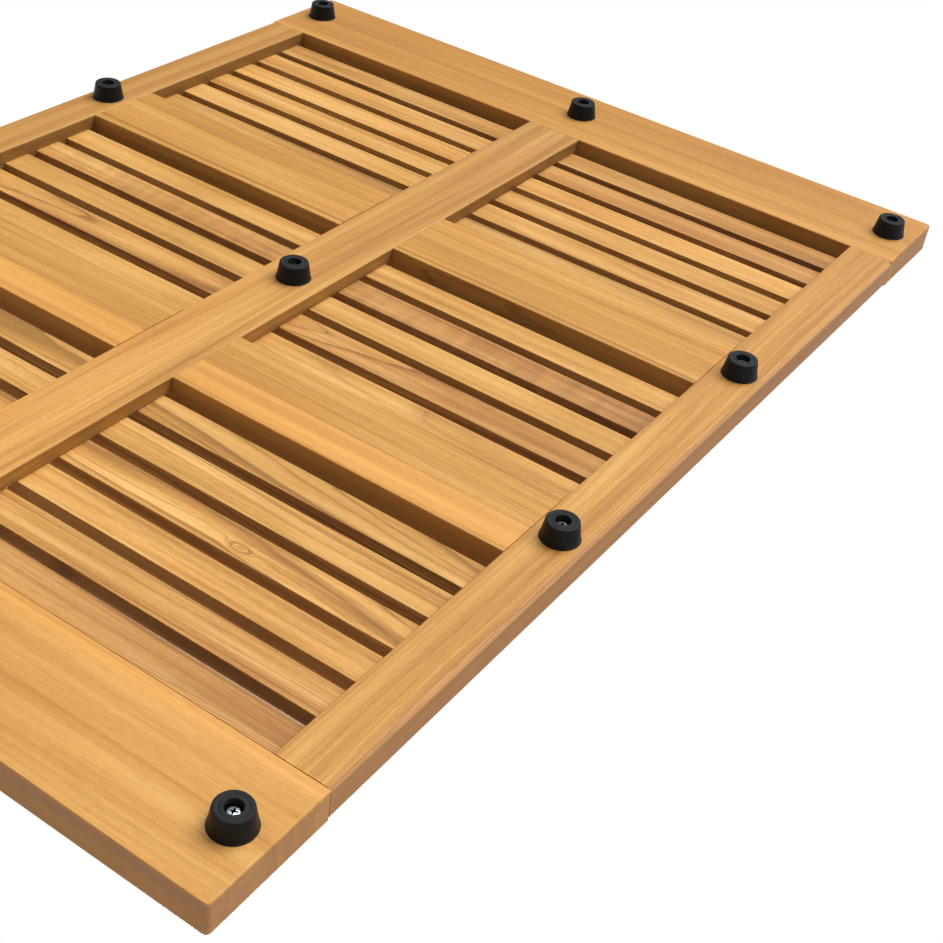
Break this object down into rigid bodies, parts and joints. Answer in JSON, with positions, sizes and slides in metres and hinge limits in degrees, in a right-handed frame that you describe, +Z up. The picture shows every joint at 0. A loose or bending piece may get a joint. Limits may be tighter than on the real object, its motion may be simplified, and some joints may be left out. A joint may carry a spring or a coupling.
{
  "type": "bath mat",
  "caption": "Slatted wooden bath mat: oiled frame with panels of thin slats flush with its top, a middle rail let in underneath, and screwed black rubber feet.",
  "frame": {"origin": "Centre of the mat, on the floor plane that its rubber feet stand on.", "axes": "+X along the mat's length, +Y across its width, +Z up, out of the walking side. The feet point down, along -Z."},
  "size_m": [0.762, 0.54, 0.03],
  "materials": {
    "oiled_teak": "oiled, planed smooth, fine straight grain",
    "slat_teak": "oiled, planed smooth, tone varies from slat to slat",
    "black_rubber": "moulded, satin",
    "zinc_steel": "bright zinc plated",
    "brad_steel": "plain wire ends"
  },
  "bodies": {
    "root": {"end_board_left": "oiled_teak", "end_board_right": "oiled_teak", "side_rail_front": "oiled_teak", "side_rail_back": "oiled_teak", "cross_board_left": "oiled_teak", "cross_board_right": "oiled_teak", "mid_rail": "oiled_teak", "slat_01": "slat_teak", "slat_02": "slat_teak", "slat_03": "slat_teak", "slat_04": "slat_teak", "slat_05": "slat_teak", "slat_06": "slat_teak", "slat_07": "slat_teak", "slat_08": "slat_teak", "slat_09": "slat_teak", "slat_10": "slat_teak", "slat_11": "slat_teak", "slat_12": "slat_teak", "slat_13": "slat_teak", "slat_14": "slat_teak", "slat_15": "slat_teak", "slat_16": "slat_teak", "slat_17": "slat_teak", "foot_01": "black_rubber", "foot_02": "black_rubber", "foot_03": "black_rubber", "foot_04": "black_rubber", "foot_05": "black_rubber", "foot_06": "black_rubber", "foot_07": "black_rubber", "foot_08": "black_rubber", "foot_09": "black_rubber", "foot_10": "black_rubber", "foot_11": "black_rubber", "foot_screws": "zinc_steel", "slat_brads": "brad_steel"}
  },
  "joints": []
}
